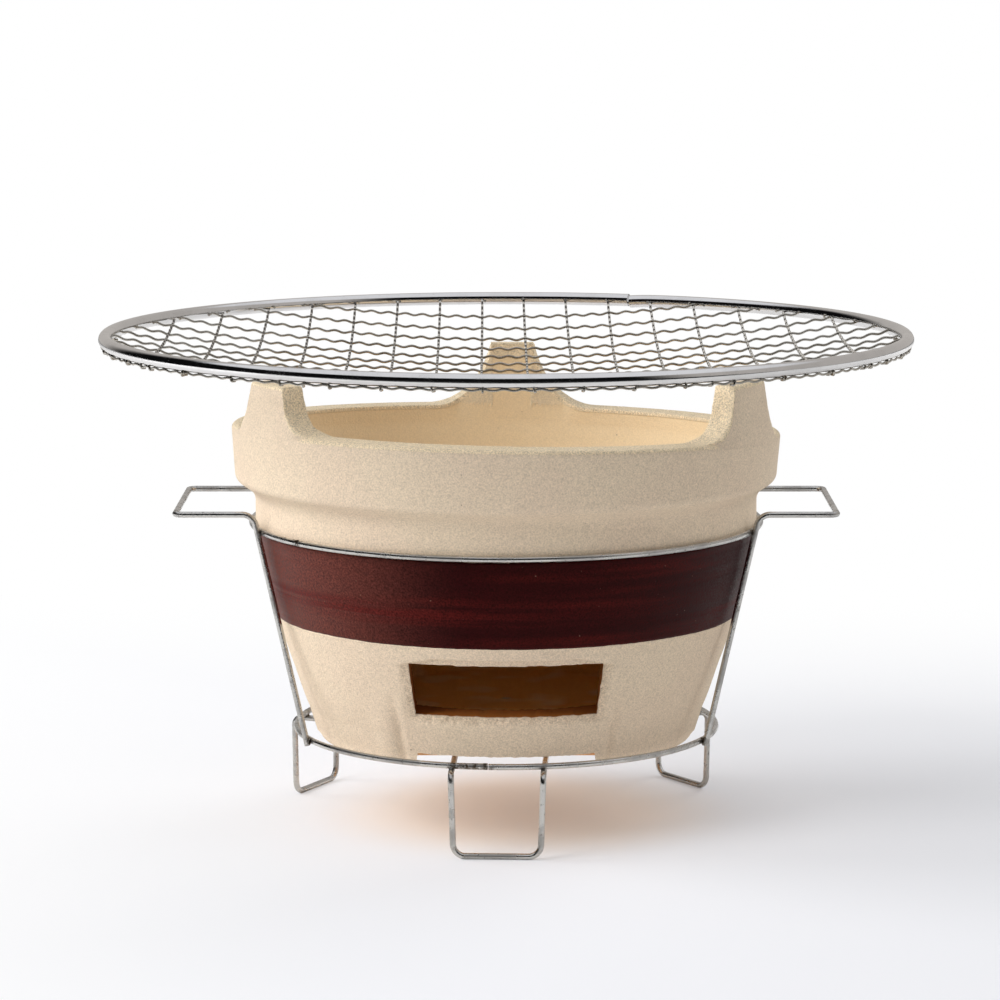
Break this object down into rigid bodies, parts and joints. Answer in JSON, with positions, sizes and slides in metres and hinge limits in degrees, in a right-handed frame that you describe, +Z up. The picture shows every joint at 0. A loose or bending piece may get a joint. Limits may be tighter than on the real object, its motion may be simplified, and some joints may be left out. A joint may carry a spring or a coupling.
{
  "type": "charcoal brazier",
  "caption": "Table-top ceramic charcoal brazier with an air vent, standing in a wire stand with carrying handles and topped by a round dished wire net.",
  "frame": {"origin": "on the table, below the middle of the pot and the net", "axes": "+Z up along the pot's axis, -Y towards the vent, +X to the right seen from the vent"},
  "size_m": [0.27, 0.27, 0.163],
  "materials": {
    "clay": "matt fired clay, fine speckle",
    "clay_grate": "matt fired clay",
    "band_slip": "satin dark red-brown slip, brushed on",
    "stand_steel": "drawn steel wire, spot welded",
    "rim_steel": "polished steel tube",
    "net_wire_steel": "crimped bright steel wire"
  },
  "bodies": {
    "stand": {"stand_upper_ring": "stand_steel", "stand_lower_ring": "stand_steel", "left_handle_wire": "stand_steel", "right_handle_wire": "stand_steel", "front_leg": "stand_steel", "left_rear_leg": "stand_steel", "right_rear_leg": "stand_steel"},
    "pot": {"pot_body": "clay", "colour_band": "band_slip"},
    "grate": {"fire_grate": "clay_grate"},
    "net": {"net_rim": "rim_steel", "net_wire_along_1": "net_wire_steel", "net_wire_along_2": "net_wire_steel", "net_wire_along_3": "net_wire_steel", "net_wire_along_4": "net_wire_steel", "net_wire_along_5": "net_wire_steel", "net_wire_along_6": "net_wire_steel", "net_wire_along_7": "net_wire_steel", "net_wire_along_8": "net_wire_steel", "net_wire_along_9": "net_wire_steel", "net_wire_along_10": "net_wire_steel", "net_wire_along_11": "net_wire_steel", "net_wire_along_12": "net_wire_steel", "net_wire_along_13": "net_wire_steel", "net_wire_along_14": "net_wire_steel", "net_wire_along_15": "net_wire_steel", "net_wire_along_16": "net_wire_steel", "net_wire_across_1": "net_wire_steel", "net_wire_across_2": "net_wire_steel", "net_wire_across_3": "net_wire_steel", "net_wire_across_4": "net_wire_steel", "net_wire_across_5": "net_wire_steel", "net_wire_across_6": "net_wire_steel", "net_wire_across_7": "net_wire_steel", "net_wire_across_8": "net_wire_steel", "net_wire_across_9": "net_wire_steel", "net_wire_across_10": "net_wire_steel", "net_wire_across_11": "net_wire_steel", "net_wire_across_12": "net_wire_steel", "net_wire_across_13": "net_wire_steel", "net_wire_across_14": "net_wire_steel", "net_wire_across_15": "net_wire_steel", "net_wire_across_16": "net_wire_steel", "net_wire_across_17": "net_wire_steel"}
  },
  "joints": [
    {"name": "pot_lift", "type": "slide", "parent": "stand", "child": "pot", "axis": [0, 0, 1], "range_m": [0, 0.12]},
    {"name": "grate_lift", "type": "slide", "parent": "pot", "child": "grate", "axis": [0, 0, 1], "range_m": [0, 0.06]},
    {"name": "net_lift", "type": "slide", "parent": "pot", "child": "net", "axis": [0, 0, 1], "range_m": [0, 0.1]}
  ]
}
